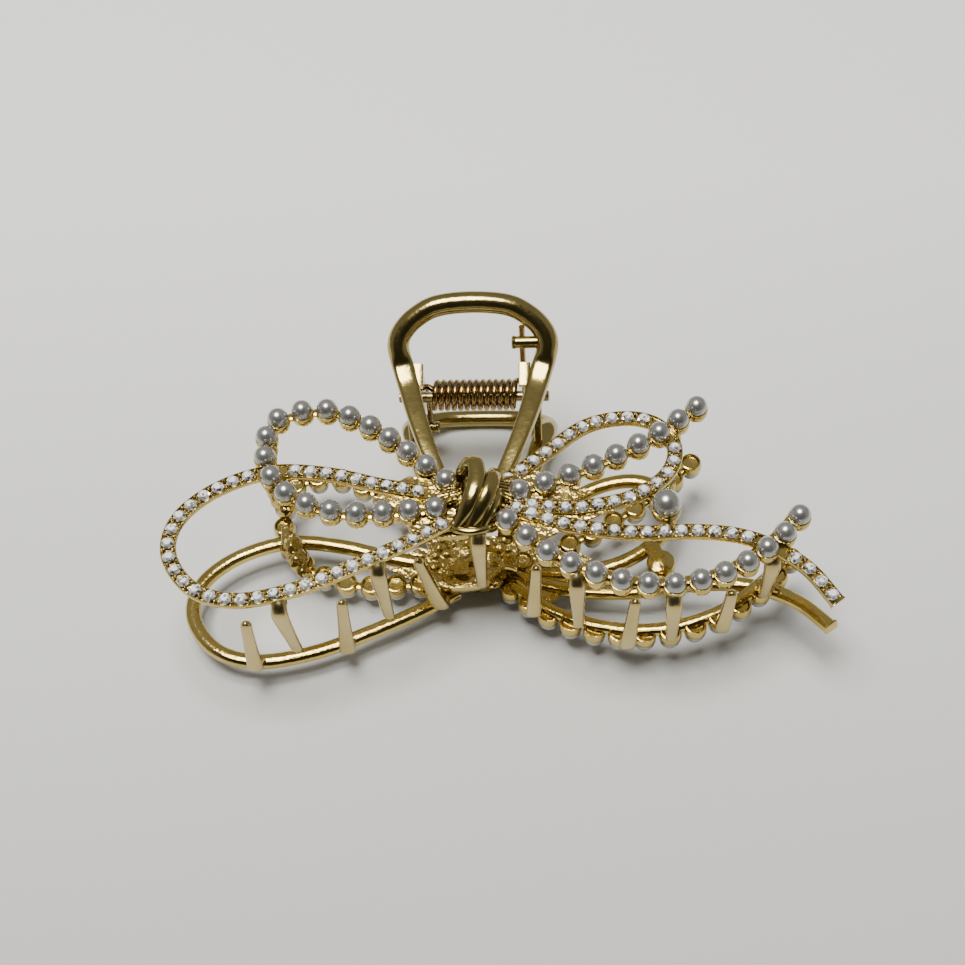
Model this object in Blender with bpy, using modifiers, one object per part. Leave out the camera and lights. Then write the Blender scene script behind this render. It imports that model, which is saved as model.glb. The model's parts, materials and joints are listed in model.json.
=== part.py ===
"""Rhinestone hair claw clip: two mirrored bow-shaped jaws on one sprung hinge pin.

Jaw frame: X runs along the bow, -Y points from the hinge to the teeth, Z is the
height above the plane that the two jaws share. The pin lies on the X axis.
"""

import math

import bmesh
import bpy
import numpy as np
from mathutils import Vector

MM = 0.001

# Driving sizes, in millimetres.
BOW_SPAN = 92.0  # tip of the left loop to the tip of the tail
BOW_DEPTH = 31.0  # back of the pearl loop to the front rail
CROWN = 10.4  # height of the bow at its highest point
STONE_RAIL_WIDTH = 2.2
STONE_RAIL_THICKNESS = 1.7
STONE_STRIP_WIDTH = 1.9
STONE_STRIP_THICKNESS = 0.6
PEARL_RADIUS = 1.5
PEARL_PITCH = 3.55
PEARL_NECK = 0.4
PEARL_RAIL_WIDTH = 2.0
PEARL_RAIL_THICKNESS = 0.6
BIG_PEARL_RADIUS = 2.0
BIG_CUP_THICKNESS = 0.9
PEARL_LIFT = 0.6  # pearl middles above the stone rails' top face
HANDLE_RADIUS = 1.3
HANDLE_REACH = 8.4  # sloping length of the finger loop
BAR_BACK = 0.72  # how far behind the pin the bar lies, as a share of the reach
BAR_UP = 0.78  # how far above the arms the bar lies, as a share of the reach
HANDLE_HALF_WIDTH = 10.4
ARM_HEIGHT = 8.2
EAR_THICKNESS = 1.2
EAR_INNER_FACE = 7.3
EAR_RADIUS = 2.3
PIN_RADIUS = 0.8
PIN_HALF_LENGTH = 10.7
SPRING_WIRE = 0.4
SPRING_RADIUS = 1.75
SPRING_TURNS = 13
SPRING_HALF_LENGTH = 5.8
PEG_RADIUS = 0.8
PEG_LENGTH = 4.2
PEG_BACK = 0.22  # the peg's place on the loop's leg, as shares of the reach
PEG_UP = 0.3
PLATE_THICKNESS = 1.6
PLATE_LENGTH = 13.0
PLATE_WIDTH = 10.6
PLATE_CORNER = 2.0
PLATE_DROP = 2.1  # the plate's top below the crown, so that the knot covers it
KNOT_WIDTH = 5.2
KNOT_LENGTH = 11.4
KNOT_HEIGHT = 5.7
KNOT_SLANT = 1.4  # how far the knot leans sideways from its front to its back
REST_FLAT_DEPTH = 0.4  # how much of the knot the resting flat cuts away
TOOTH_RADIUS = 0.85
TOOTH_ROOT_DROP = 0.9  # the tooth's root below the crown
TOOTH_OVERREACH = 4.6  # how far a tip passes the plane between the jaws
TOOTH_STEPS = [(0.0, 0.6), (0.05, 0.9), (0.3, 1.0), (0.7, 0.9), (0.94, 0.75), (1.0, 0.4)]
GAP = 0.3  # between pieces that touch on the real clip
RAIL_GAP = 0.02  # between two stone rails that run side by side

# The bow is drawn at this size and stretched to BOW_SPAN and BOW_DEPTH.
DRAWN_SPAN = 92.0
DRAWN_DEPTH = 31.0
KNOT_AT = (1.3, -22.8)

# Middle lines of the rails as drawn, each from its end beside the knot.
LEFT_PEARL_LINE = [
    (-3.0, -21.5), (-8.4, -16.7), (-14.0, -12.0), (-20.5, -8.8), (-26.8, -10.0),
    (-28.5, -14.0), (-27.6, -19.5), (-24.3, -23.7), (-18.0, -26.4), (-11.0, -26.6), (-4.2, -26.0),
]
RIGHT_PEARL_LINE = [(7.1, -23.1), (13.5, -20.6), (20.0, -17.2), (26.0, -13.3), (32.0, -8.0)]
FRONT_PEARL_LINE = [
    (5.4, -27.7), (10.4, -32.0), (16.5, -35.0), (23.0, -36.4), (29.6, -36.0),
    (36.4, -33.4), (42.3, -28.7), (45.2, -25.2),
]
LEFT_STONE_LINE = [
    (-5.5, -23.2), (-12.0, -21.9), (-19.5, -19.9), (-27.5, -19.3), (-34.8, -21.9), (-39.6, -26.5),
    (-40.3, -32.0), (-36.6, -37.2), (-30.5, -39.1), (-22.5, -37.6), (-14.5, -34.2), (-7.0, -30.4),
]
RIGHT_STONE_LINE = [
    (6.8, -19.9), (11.3, -15.9), (16.4, -11.6), (22.0, -10.0), (26.4, -11.1),
    (28.6, -15.0), (27.2, -19.6), (22.2, -23.4), (16.0, -25.1), (12.6, -25.3),
]
TAIL_STONE_LINE = [
    (8.4, -26.3), (14.2, -28.0), (22.4, -28.8), (30.4, -28.2), (36.5, -28.4),
    (41.5, -29.9), (46.0, -32.8), (49.6, -37.2),
]
BIG_PEARL_AT = (27.0, -24.6)

# Where each jaw's six teeth stand along the bow, and how far each tip leans.
TOOTH_ROWS = {
    "upper": [(-25.0, 0.9), (-12.1, 0.4), (1.5, 0.0), (14.8, 0.2), (27.8, 0.1), (40.4, 0.4)],
    "lower": [(-30.4, 0.7), (-17.4, 0.7), (-4.6, -2.4), (8.8, 0.4), (21.7, 0.8), (34.5, 0.7)],
}
TOOTH_CURL = 0.5  # how far a tip turns back towards the hinge

GOLD = (0.83, 0.62, 0.25, 1.0)
PEARL = (0.80, 0.79, 0.78, 1.0)
CRYSTAL = (0.92, 0.94, 0.96, 1.0)
STEEL_GOLD = (0.62, 0.42, 0.18, 1.0)


def clear_scene():
    for obj in list(bpy.data.objects):
        bpy.data.objects.remove(obj, do_unlink=True)


def new_collection(name):
    collection = bpy.data.collections.new(name)
    bpy.context.scene.collection.children.link(collection)
    return collection


def finish_material(name, colour, roughness, metallic):
    material = bpy.data.materials.new(name)
    material.use_nodes = True
    shader = material.node_tree.nodes["Principled BSDF"]
    shader.inputs["Base Color"].default_value = colour
    shader.inputs["Roughness"].default_value = roughness
    shader.inputs["Metallic"].default_value = metallic
    return material


def dress(obj, name, finish, parent):
    """Names the object, gives it its own material and hangs it on its parent."""
    obj.name = name
    obj.data.materials.clear()
    obj.data.materials.append(finish_material(name, *finish))
    obj.parent = parent
    return obj


def drawn(point):
    """A drawn point of the bow, stretched about the knot to the real size."""
    x = KNOT_AT[0] + (point[0] - KNOT_AT[0]) * BOW_SPAN / DRAWN_SPAN
    y = KNOT_AT[1] + (point[1] - KNOT_AT[1]) * BOW_DEPTH / DRAWN_DEPTH
    return x, y


def crown(x, y):
    """Height of the stone rails' top face: a low dome that falls to both tips."""
    along = (x + 12.0) * DRAWN_SPAN / BOW_SPAN
    across = (y + 24.0) * DRAWN_DEPTH / BOW_DEPTH
    return CROWN - 0.0013 * along**2 - 0.004 * across**2 + 0.001 * along * across


def smooth_line(points, step):
    """Points at an even spacing near step along a Catmull-Rom curve through points."""
    p = np.array(points, float)
    p = np.vstack([2 * p[0] - p[1], p, 2 * p[-1] - p[-2]])
    fine = []
    for i in range(1, len(p) - 2):
        for t in np.linspace(0, 1, 24, endpoint=False):
            a, b, c, d = p[i - 1 : i + 3]
            fine.append(
                0.5 * (2 * b + (c - a) * t + (2 * a - 5 * b + 4 * c - d) * t**2
                       + (3 * b - a - 3 * c + d) * t**3)
            )
    fine.append(p[-2])
    return even_points(np.array(fine), step)


def even_points(fine, step):
    lengths = np.concatenate([[0], np.cumsum(np.linalg.norm(np.diff(fine, axis=0), axis=1))])
    count = max(2, round(lengths[-1] / step) + 1)
    at = np.linspace(0, lengths[-1], count)
    return np.stack([np.interp(at, lengths, fine[:, k]) for k in range(fine.shape[1])], axis=1)


def distance_to_line(point, line):
    nearest = math.inf
    for a, b in zip(line[:-1], line[1:]):
        ab = b - a
        t = np.clip(np.dot(point - a, ab) / np.dot(ab, ab), 0, 1)
        nearest = min(nearest, np.linalg.norm(point - a - t * ab))
    return nearest


def edge_points(line, width):
    """For each point of a flat line: itself and the points half a width to either side."""
    ahead = np.gradient(line, axis=0)
    ahead /= np.linalg.norm(ahead, axis=1)[:, None]
    beside = np.stack([-ahead[:, 1], ahead[:, 0]], axis=1) * width / 2
    return np.stack([line - beside, line, line + beside], axis=1)


def clear_runs(line, width, is_clear):
    """The stretches of a line on which a strip of this width is clear, in order."""
    runs = [[]]
    for point, across in zip(line, edge_points(line, width)):
        if all(is_clear(spot) for spot in across):
            runs[-1].append(point)
        elif runs[-1]:
            runs.append([])
    return [np.array(run) for run in runs if len(run) > 2]


def two_longest(runs):
    """The two longest of these runs, kept in their order along the line."""
    longest = sorted(range(len(runs)), key=lambda i: len(runs[i]))[-2:]
    return [runs[i] for i in sorted(longest)]


def poly_curve(name, points, collection, radii=None):
    """A 3D poly curve object through points in millimetres."""
    curve = bpy.data.curves.new(name, "CURVE")
    curve.dimensions = "3D"
    curve.twist_mode = "Z_UP"
    curve.use_fill_caps = True
    spline = curve.splines.new("POLY")
    spline.points.add(len(points) - 1)
    for i, point in enumerate(points):
        spline.points[i].co = (*(Vector(point) * MM), 1)
        spline.points[i].radius = 1 if radii is None else radii[i]
    obj = bpy.data.objects.new(name, curve)
    collection.objects.link(obj)
    return obj


def tube(name, points, radius, collection, radii=None, resolution=2):
    obj = poly_curve(name, points, collection, radii)
    obj.data.bevel_depth = radius * MM
    obj.data.bevel_resolution = resolution
    return obj


def rail_section(width, thickness, helpers):
    """A flat rail's section, with its corners cut off, as a closed bevel profile."""
    cut = thickness * 0.2
    w, t = width / 2, thickness / 2
    corners = [
        (w, t - cut), (w - cut, t), (cut - w, t), (-w, t - cut),
        (-w, cut - t), (cut - w, -t), (w - cut, -t), (w, cut - t),
    ]
    curve = bpy.data.curves.new("rail_section", "CURVE")
    curve.dimensions = "2D"
    spline = curve.splines.new("POLY")
    spline.points.add(len(corners) - 1)
    for i, (x, y) in enumerate(corners):
        spline.points[i].co = (x * MM, y * MM, 0, 1)
    spline.use_cyclic_u = True
    obj = bpy.data.objects.new("rail_section", curve)
    helpers.objects.link(obj)
    obj.hide_render = True
    obj.display_type = "WIRE"
    return obj


def swept_rail(name, points, section, collection):
    obj = poly_curve(name, points, collection)
    obj.data.bevel_mode = "OBJECT"
    obj.data.bevel_object = section
    return obj


def to_mesh(obj, collection):
    """The object's evaluated shape as a welded mesh object with its modifiers applied."""
    bpy.context.view_layer.update()
    graph = bpy.context.evaluated_depsgraph_get()
    mesh = bpy.data.meshes.new_from_object(obj.evaluated_get(graph))
    bm = bmesh.new()
    bm.from_mesh(mesh)
    bmesh.ops.remove_doubles(bm, verts=bm.verts, dist=0.00001)
    bmesh.ops.recalc_face_normals(bm, faces=bm.faces)
    bm.to_mesh(mesh)
    bm.free()
    made = bpy.data.objects.new(obj.name, mesh)
    made.matrix_world = obj.matrix_world.copy()
    collection.objects.link(made)
    bpy.data.objects.remove(obj, do_unlink=True)
    return made


def cylinder(name, start, end, radius, segments, collection):
    """A capped cylinder between two points in millimetres."""
    a, b = Vector(start) * MM, Vector(end) * MM
    mesh = bpy.data.meshes.new(name)
    bm = bmesh.new()
    bmesh.ops.create_cone(
        bm, cap_ends=True, segments=segments, radius1=radius * MM, radius2=radius * MM,
        depth=(b - a).length,
    )
    turn = (b - a).to_track_quat("Z", "Y").to_matrix().to_4x4()
    bmesh.ops.transform(bm, matrix=turn, verts=bm.verts)
    bmesh.ops.translate(bm, vec=(a + b) / 2, verts=bm.verts)
    bm.to_mesh(mesh)
    bm.free()
    obj = bpy.data.objects.new(name, mesh)
    collection.objects.link(obj)
    return obj


def flat_outline(name, outline, thickness, collection):
    """A closed outline in its own XY plane, thick along Z, as a mesh object."""
    curve = bpy.data.curves.new(name, "CURVE")
    curve.dimensions = "2D"
    curve.fill_mode = "BOTH"
    curve.extrude = thickness * MM / 2
    spline = curve.splines.new("POLY")
    spline.points.add(len(outline) - 1)
    for i, (x, y) in enumerate(outline):
        spline.points[i].co = (x * MM, y * MM, 0, 1)
    spline.use_cyclic_u = True
    obj = bpy.data.objects.new(name, curve)
    collection.objects.link(obj)
    return to_mesh(obj, collection)


def boolean(obj, other, operation, helpers):
    """Joins or cuts with another mesh object, which becomes a hidden helper."""
    modifier = obj.modifiers.new(operation.lower(), "BOOLEAN")
    modifier.operation = operation
    modifier.solver = "EXACT"
    modifier.object = other
    for collection in list(other.users_collection):
        collection.objects.unlink(other)
    helpers.objects.link(other)
    other.hide_render = True
    other.display_type = "WIRE"


def round_shaded(obj, angle=35):
    if obj.type == "MESH":
        obj.data.shade_smooth()
        obj.data.set_sharp_from_angle(angle=math.radians(angle))
    return obj


def handle_line():
    """The handle's middle line, from one arm's foot round the bar to the other's."""
    w = HANDLE_HALF_WIDTH
    back, up = HANDLE_REACH * BAR_BACK, HANDLE_REACH * BAR_UP
    foot_y = KNOT_AT[1] + PLATE_LENGTH / 2 - 0.9
    half = [
        (0.0, back, ARM_HEIGHT + up),
        (w * 0.45, back * 0.95, ARM_HEIGHT + up * 0.95),
        (w * 0.77, back * 0.74, ARM_HEIGHT + up * 0.77),
        (w, back * 0.28, ARM_HEIGHT + up * 0.38),
        (w * 0.95, -1.4, ARM_HEIGHT + up * 0.06),
        (w * 0.84, foot_y * 0.3, ARM_HEIGHT - 0.1),
        (w * 0.65, foot_y * 0.68, ARM_HEIGHT - 0.3),
        (PLATE_WIDTH / 2 - 0.5, foot_y, plate_middle()),
    ]
    mirrored = [(-x, y, z) for x, y, z in half[:0:-1]]
    return mirrored + half


def bar_centre():
    """Where the middle of the handle's bar lies, as (y, z)."""
    return HANDLE_REACH * BAR_BACK, ARM_HEIGHT + HANDLE_REACH * BAR_UP


def plate_middle():
    """Height of the middle of the centre plate's thickness."""
    return CROWN - PLATE_DROP - PLATE_THICKNESS / 2


def knot_base():
    """Height of the knot's underside, just clear of the centre plate."""
    return CROWN - PLATE_DROP + GAP


def ear_outline():
    """An ear seen along the pin: round about the pin, straight up to the arm."""
    turns = [math.radians(a) for a in range(180, 361, 20)]
    arc = [(EAR_RADIUS * math.cos(a), EAR_RADIUS * math.sin(a)) for a in turns]
    return arc + [(0.6, ARM_HEIGHT), (-3.4, ARM_HEIGHT)]


def add_ears(jaw, side, inner_face, collection, helpers):
    """The two lugs that hang from the arms and take the pin with clearance."""
    for hand in (-1, 1):
        plate = flat_outline("ear", ear_outline(), EAR_THICKNESS, collection)
        middle = hand * (inner_face + EAR_THICKNESS / 2) * MM
        for vertex in plate.data.vertices:
            y, z, x = vertex.co
            vertex.co = (middle + x, y, side * z)
        if side < 0:
            plate.data.flip_normals()
        boolean(jaw, plate, "UNION", helpers)
    hole_end = inner_face + 2 * EAR_THICKNESS
    hole = cylinder("pin_hole", (-hole_end, 0, 0), (hole_end, 0, 0), PIN_RADIUS + GAP, 16, collection)
    boolean(jaw, hole, "DIFFERENCE", helpers)


def make_handle(side, inner_face, collection, helpers):
    """Finger loop, arms, ears, spring peg and centre plate in one piece."""
    line = smooth_line(handle_line(), 2.6)
    line[:, 2] *= side
    handle = to_mesh(tube("handle", line, HANDLE_RADIUS, collection), collection)
    inner_w, inner_l = PLATE_WIDTH / 2 - PLATE_CORNER, PLATE_LENGTH / 2 - PLATE_CORNER
    outline = []
    for quarter, (sx, sy) in enumerate([(1, 1), (-1, 1), (-1, -1), (1, -1)]):
        for step in range(4):
            a = math.radians(90 * quarter + 30 * step)
            outline.append((
                sx * inner_w + PLATE_CORNER * math.cos(a),
                KNOT_AT[1] + sy * inner_l + PLATE_CORNER * math.sin(a),
            ))
    plate = flat_outline("centre_plate", outline, PLATE_THICKNESS, collection)
    for vertex in plate.data.vertices:
        vertex.co.z += side * plate_middle() * MM
    boolean(handle, plate, "UNION", helpers)
    back = HANDLE_REACH * PEG_BACK
    peg_z = side * (ARM_HEIGHT + HANDLE_REACH * PEG_UP)
    outer = HANDLE_HALF_WIDTH - 0.2
    peg = cylinder(
        "spring_peg", (side * (outer - PEG_LENGTH - 1.0), back, peg_z), (side * outer, back, peg_z),
        PEG_RADIUS, 10, collection,
    )
    boolean(handle, peg, "UNION", helpers)
    add_ears(handle, side, inner_face, collection, helpers)
    return round_shaded(to_mesh(handle, collection))


def knot_shape(side, tilt, collection, helpers):
    """The wrap over the middle of the bow, with the flat that a lying clip rests on."""
    mesh = bpy.data.meshes.new("knot")
    bm = bmesh.new()
    bmesh.ops.create_cube(bm, size=1)
    bmesh.ops.subdivide_edges(bm, edges=bm.edges, cuts=1, use_grid_fill=True)
    grow = 1.16  # subdivision draws the cage in by this much
    for vertex in bm.verts:
        x, y, z = vertex.co
        vertex.co = (
            (KNOT_AT[0] + x * knot_width() * grow + y * KNOT_SLANT) * MM,
            (KNOT_AT[1] + y * KNOT_LENGTH * grow) * MM,
            side * (knot_base() + (z + 0.5) * KNOT_HEIGHT * 1.05) * MM,
        )
    bmesh.ops.recalc_face_normals(bm, faces=bm.faces)
    bm.to_mesh(mesh)
    bm.free()
    knot = bpy.data.objects.new("knot", mesh)
    collection.objects.link(knot)
    soften = knot.modifiers.new("soften", "SUBSURF")
    soften.levels = 2
    soften.render_levels = 2
    y, z = rest_point()
    cutter = cylinder("rest_cut", (0, 0, 0), (0, 0, 6.0), 20.0, 24, collection)
    for vertex in cutter.data.vertices:
        along = vertex.co.y
        above = vertex.co.z
        vertex.co.x += KNOT_AT[0] * MM
        vertex.co.y = y * MM + along * math.cos(tilt) - above * math.sin(tilt)
        vertex.co.z = side * (z * MM + above * math.cos(tilt) + along * math.sin(tilt))
    if side < 0:
        cutter.data.flip_normals()
    boolean(knot, cutter, "DIFFERENCE", helpers)
    return round_shaded(to_mesh(knot, collection))


def rest_point():
    """Middle of the knot's resting flat in the jaw frame, as (y, height)."""
    return KNOT_AT[1] - 1.5, knot_base() + KNOT_HEIGHT - REST_FLAT_DEPTH


def rest_tilt():
    """Angle of the surface under a lying clip: it meets a knot and a handle bar."""
    y, z = rest_point()
    bar_y, bar_z = bar_centre()
    dy, dz = bar_y - y, bar_z - z
    return math.atan2(dz, dy) + math.asin(HANDLE_RADIUS / math.hypot(dy, dz))


def knot_width():
    """The knot's width, which grows with the bow so that the rows still reach it."""
    return KNOT_WIDTH * BOW_SPAN / DRAWN_SPAN


def off_knot(point):
    """Whether a pearl centred here stays clear of the knot's side."""
    lean = KNOT_SLANT * (point[1] - KNOT_AT[1]) / KNOT_LENGTH
    beside = abs(point[0] - KNOT_AT[0] - lean)
    return beside > knot_width() / 2 + PEARL_RADIUS + GAP


def bead_chain(line):
    """Points and radius factors of a tube that swells into a bead at each pearl."""
    middles = even_points(line, PEARL_PITCH)
    pitch = np.linalg.norm(middles[1] - middles[0])
    fine = even_points(line, 0.2)
    total = pitch * (len(middles) - 1)
    lengths = np.linspace(0, total, len(fine))
    overhang = 0.95 * PEARL_RADIUS
    stops = [(-overhang, 0.3)]
    for i in range(len(middles)):
        stops += [(i * pitch + s * PEARL_RADIUS, r) for s, r in ((-0.7, 0.72), (0, 1.0), (0.7, 0.72))]
        if i < len(middles) - 1:
            stops.append(((i + 0.5) * pitch, PEARL_NECK / PEARL_RADIUS))
    stops.append((total + overhang, 0.3))
    start, end = fine[1] - fine[0], fine[-1] - fine[-2]
    start, end = start / np.linalg.norm(start), end / np.linalg.norm(end)
    points = []
    for at, _ in stops:
        inside = min(max(at, 0), total)
        point = np.array([np.interp(inside, lengths, fine[:, k]) for k in range(3)])
        point += start * min(at, 0) + end * max(at - total, 0)
        points.append(point)
    return points, [radius for _, radius in stops]


def raised(line, offset, side):
    """The line lifted onto the crown plus an offset, on the jaw's side."""
    return np.array([(x, y, side * (crown(x, y) + offset)) for x, y in line])


def line_y(x, line):
    """The frontmost y that a line reaches at this x, or infinity where it doesn't pass."""
    front = math.inf
    for a, b in zip(line[:-1], line[1:]):
        if min(a[0], b[0]) <= x <= max(a[0], b[0]) and a[0] != b[0]:
            front = min(front, a[1] + (x - a[0]) / (b[0] - a[0]) * (b[1] - a[1]))
    return front


def make_tooth(name, at, lean, front_lines, side, collection):
    """A tapering claw in front of the frontmost rail, across the gap between the jaws."""
    x = drawn((at, 0))[0]
    rails = min(line_y(x, line) for line in front_lines) - STONE_RAIL_WIDTH / 2
    plate = KNOT_AT[1] - PLATE_LENGTH / 2
    y = min(rails, plate) - GAP - TOOTH_RADIUS
    top = crown(x, y) - TOOTH_ROOT_DROP
    length = top + TOOTH_OVERREACH
    points = []
    for t, _ in TOOTH_STEPS:
        points.append((x + lean * t, y + TOOTH_CURL * t * t, side * (top - length * t)))
    return tube(name, points, TOOTH_RADIUS, collection, [r for _, r in TOOTH_STEPS])


def make_big_cup(side, tail_line, collection, helpers):
    """The big pearl's disc and the short stem that joins it to the tail rail."""
    x, y = drawn(BIG_PEARL_AT)
    middle = crown(x, y) + PEARL_LIFT - BIG_PEARL_RADIUS - GAP - BIG_CUP_THICKNESS / 2
    z = side * middle
    half = BIG_CUP_THICKNESS / 2
    disc = cylinder("cup", (x, y, z - half), (x, y, z + half), BIG_PEARL_RADIUS * 0.9, 16, collection)
    stem_end = line_y(x, tail_line) + STONE_RAIL_WIDTH / 2 + GAP
    stem = cylinder("stem", (x, y, z), (x, stem_end, z), BIG_CUP_THICKNESS * 0.45, 8, collection)
    boolean(disc, stem, "UNION", helpers)
    return round_shaded(to_mesh(disc, collection))


def make_ball(name, centre, radius, collection):
    mesh = bpy.data.meshes.new(name)
    bm = bmesh.new()
    bmesh.ops.create_uvsphere(bm, u_segments=16, v_segments=10, radius=radius * MM)
    bmesh.ops.translate(bm, vec=Vector(centre) * MM, verts=bm.verts)
    bm.to_mesh(mesh)
    bm.free()
    obj = bpy.data.objects.new(name, mesh)
    collection.objects.link(obj)
    return round_shaded(obj, 60)


def make_spring(collection):
    """Close-wound coil about the pin, its right leg under the upper handle bar."""
    points = []
    steps = 10 * SPRING_TURNS
    leg_x = SPRING_HALF_LENGTH + 0.5
    bar_y, bar_z = bar_centre()
    leg_y, leg_z = bar_y * 0.66, bar_z * 0.78
    for i in range(steps + 1):
        turn = 2 * math.pi * i / 10
        x = SPRING_HALF_LENGTH * (2 * i / steps - 1)
        points.append((x, SPRING_RADIUS * math.cos(turn), -SPRING_RADIUS * math.sin(turn)))
    left_leg = [
        (-leg_x, leg_y, -leg_z),
        (-leg_x, (leg_y + SPRING_RADIUS) / 2, -leg_z / 2),
        (-leg_x, SPRING_RADIUS + 0.1, -1.2),
    ]
    right_leg = [(x * -1, y, -z) for x, y, z in reversed(left_leg)]
    return tube("torsion_spring", left_leg + points[1:-1] + right_leg, SPRING_WIRE, collection, None, 1)


def make_jaw(jaw_name, side, inner_face, parent, tilt, part, helpers, sections):
    gold = (GOLD, 0.18, 1.0)
    pearl = (PEARL, 0.2, 0.0)
    crystal = (CRYSTAL, 0.05, 0.0)
    stone_section, strip_section, pearl_section = sections

    def name(piece):
        return f"{jaw_name}_{piece}"

    handle = make_handle(side, inner_face, part, helpers)
    dress(handle, name("handle_frame"), gold, parent)
    knot = knot_shape(side, tilt, part, helpers)
    dress(knot, name("knot"), gold, parent)

    pearl_lines = {
        "left": smooth_line([drawn(p) for p in LEFT_PEARL_LINE], 0.5),
        "right": smooth_line([drawn(p) for p in RIGHT_PEARL_LINE], 0.5),
        "front": smooth_line([drawn(p) for p in FRONT_PEARL_LINE], 0.5),
    }
    pearl_lines = {row: clear_runs(line, 0, off_knot)[0] for row, line in pearl_lines.items()}

    def off_plate(point):
        beside = abs(point[0]) > PLATE_WIDTH / 2 + GAP
        return beside or abs(point[1] - KNOT_AT[1]) > PLATE_LENGTH / 2 + GAP

    laid_rails = []

    def clear_of_rows(point):
        if any(distance_to_line(point, laid) < STONE_RAIL_WIDTH / 2 + RAIL_GAP for laid in laid_rails):
            return False
        rows = min(distance_to_line(point, line) for line in pearl_lines.values())
        return rows > PEARL_RADIUS + GAP and off_plate(point)

    for row, line in pearl_lines.items():
        rail = clear_runs(line, PEARL_RAIL_WIDTH, off_plate)[0]
        below = PEARL_LIFT - PEARL_RADIUS - GAP - PEARL_RAIL_THICKNESS / 2
        points = even_points(raised(rail, below, side), 2.6)
        made = swept_rail("rail", points, pearl_section, part)
        dress(to_mesh(made, part), name(f"{row}_pearl_rail"), gold, parent)
        points, radii = bead_chain(raised(line, PEARL_LIFT, side))
        made = tube("pearls", points, PEARL_RADIUS, part, radii, 1)
        dress(round_shaded(to_mesh(made, part), 60), name(f"{row}_pearls"), pearl, parent)

    stone_lines = {
        "left": smooth_line([drawn(p) for p in LEFT_STONE_LINE], 0.3),
        "right": smooth_line([drawn(p) for p in RIGHT_STONE_LINE], 0.3),
        "tail": smooth_line([drawn(p) for p in TAIL_STONE_LINE], 0.3),
    }
    for row, line in stone_lines.items():
        runs = two_longest(clear_runs(line, STONE_RAIL_WIDTH, clear_of_rows))
        laid_rails += runs
        for place, run in zip(("root", "tip"), runs):
            middle = raised(run, -STONE_RAIL_THICKNESS / 2, side)
            made = swept_rail("rail", even_points(middle, 2.6), stone_section, part)
            dress(to_mesh(made, part), name(f"{row}_{place}_rail"), gold, parent)
            top = raised(run, GAP + STONE_STRIP_THICKNESS / 2, side)
            inner = even_points(top, 0.3)[2:-2]
            made = swept_rail("stones", even_points(inner, 3.0), strip_section, part)
            dress(to_mesh(made, part), name(f"{row}_{place}_stones"), crystal, parent)

    dress(make_big_cup(side, stone_lines["tail"], part, helpers), name("big_pearl_cup"), gold, parent)
    x, y = drawn(BIG_PEARL_AT)
    ball = make_ball("ball", (x, y, side * (crown(x, y) + PEARL_LIFT)), BIG_PEARL_RADIUS, part)
    dress(ball, name("big_pearl"), pearl, parent)

    front_lines = [stone_lines["left"], pearl_lines["front"]]
    for number, (at, lean) in enumerate(TOOTH_ROWS[jaw_name], 1):
        tooth = make_tooth("tooth", at, lean, front_lines, side, part)
        dress(round_shaded(to_mesh(tooth, part), 60), name(f"tooth_{number}"), gold, parent)


def main():
    clear_scene()
    part = new_collection("rhinestone_hair_clip")
    helpers = new_collection("helpers")
    tilt = rest_tilt()
    sections = (
        rail_section(STONE_RAIL_WIDTH, STONE_RAIL_THICKNESS, helpers),
        rail_section(STONE_STRIP_WIDTH, STONE_STRIP_THICKNESS, helpers),
        rail_section(PEARL_RAIL_WIDTH, PEARL_RAIL_THICKNESS, helpers),
    )

    # The clip lies on its lower jaw: the resting flat's middle is the world origin.
    y, z = rest_point()
    lying = bpy.data.objects.new("lying_pose", None)
    part.objects.link(lying)
    lying.rotation_euler = (tilt, 0, 0)
    lying.location = (
        -KNOT_AT[0] * MM,
        -(y * math.cos(tilt) + z * math.sin(tilt)) * MM,
        -(y * math.sin(tilt) - z * math.cos(tilt)) * MM,
    )
    hinge = bpy.data.objects.new("hinge_axis", None)
    part.objects.link(hinge)
    hinge.parent = lying

    lower_face = EAR_INNER_FACE + EAR_THICKNESS + GAP
    make_jaw("lower", -1, lower_face, lying, tilt, part, helpers, sections)
    make_jaw("upper", 1, EAR_INNER_FACE, hinge, tilt, part, helpers, sections)

    pin = cylinder("pin", (-PIN_HALF_LENGTH, 0, 0), (PIN_HALF_LENGTH, 0, 0), PIN_RADIUS, 16, part)
    dress(round_shaded(pin), "hinge_pin", (GOLD, 0.3, 1.0), lying)
    dress(make_spring(part), "torsion_spring", (STEEL_GOLD, 0.3, 1.0), lying)


main()
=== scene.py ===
# Rhinestone hair claw clip: the finished look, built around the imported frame.
# Every shape is drawn in the jaw's own millimetres: x along the bow, -y from the hinge
# to the teeth, z up from the plane between the jaws. The lower jaw is its mirror image.

import json
import math
import random

import bmesh
import bpy
import numpy as np
from mathutils import Matrix, Vector


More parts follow.
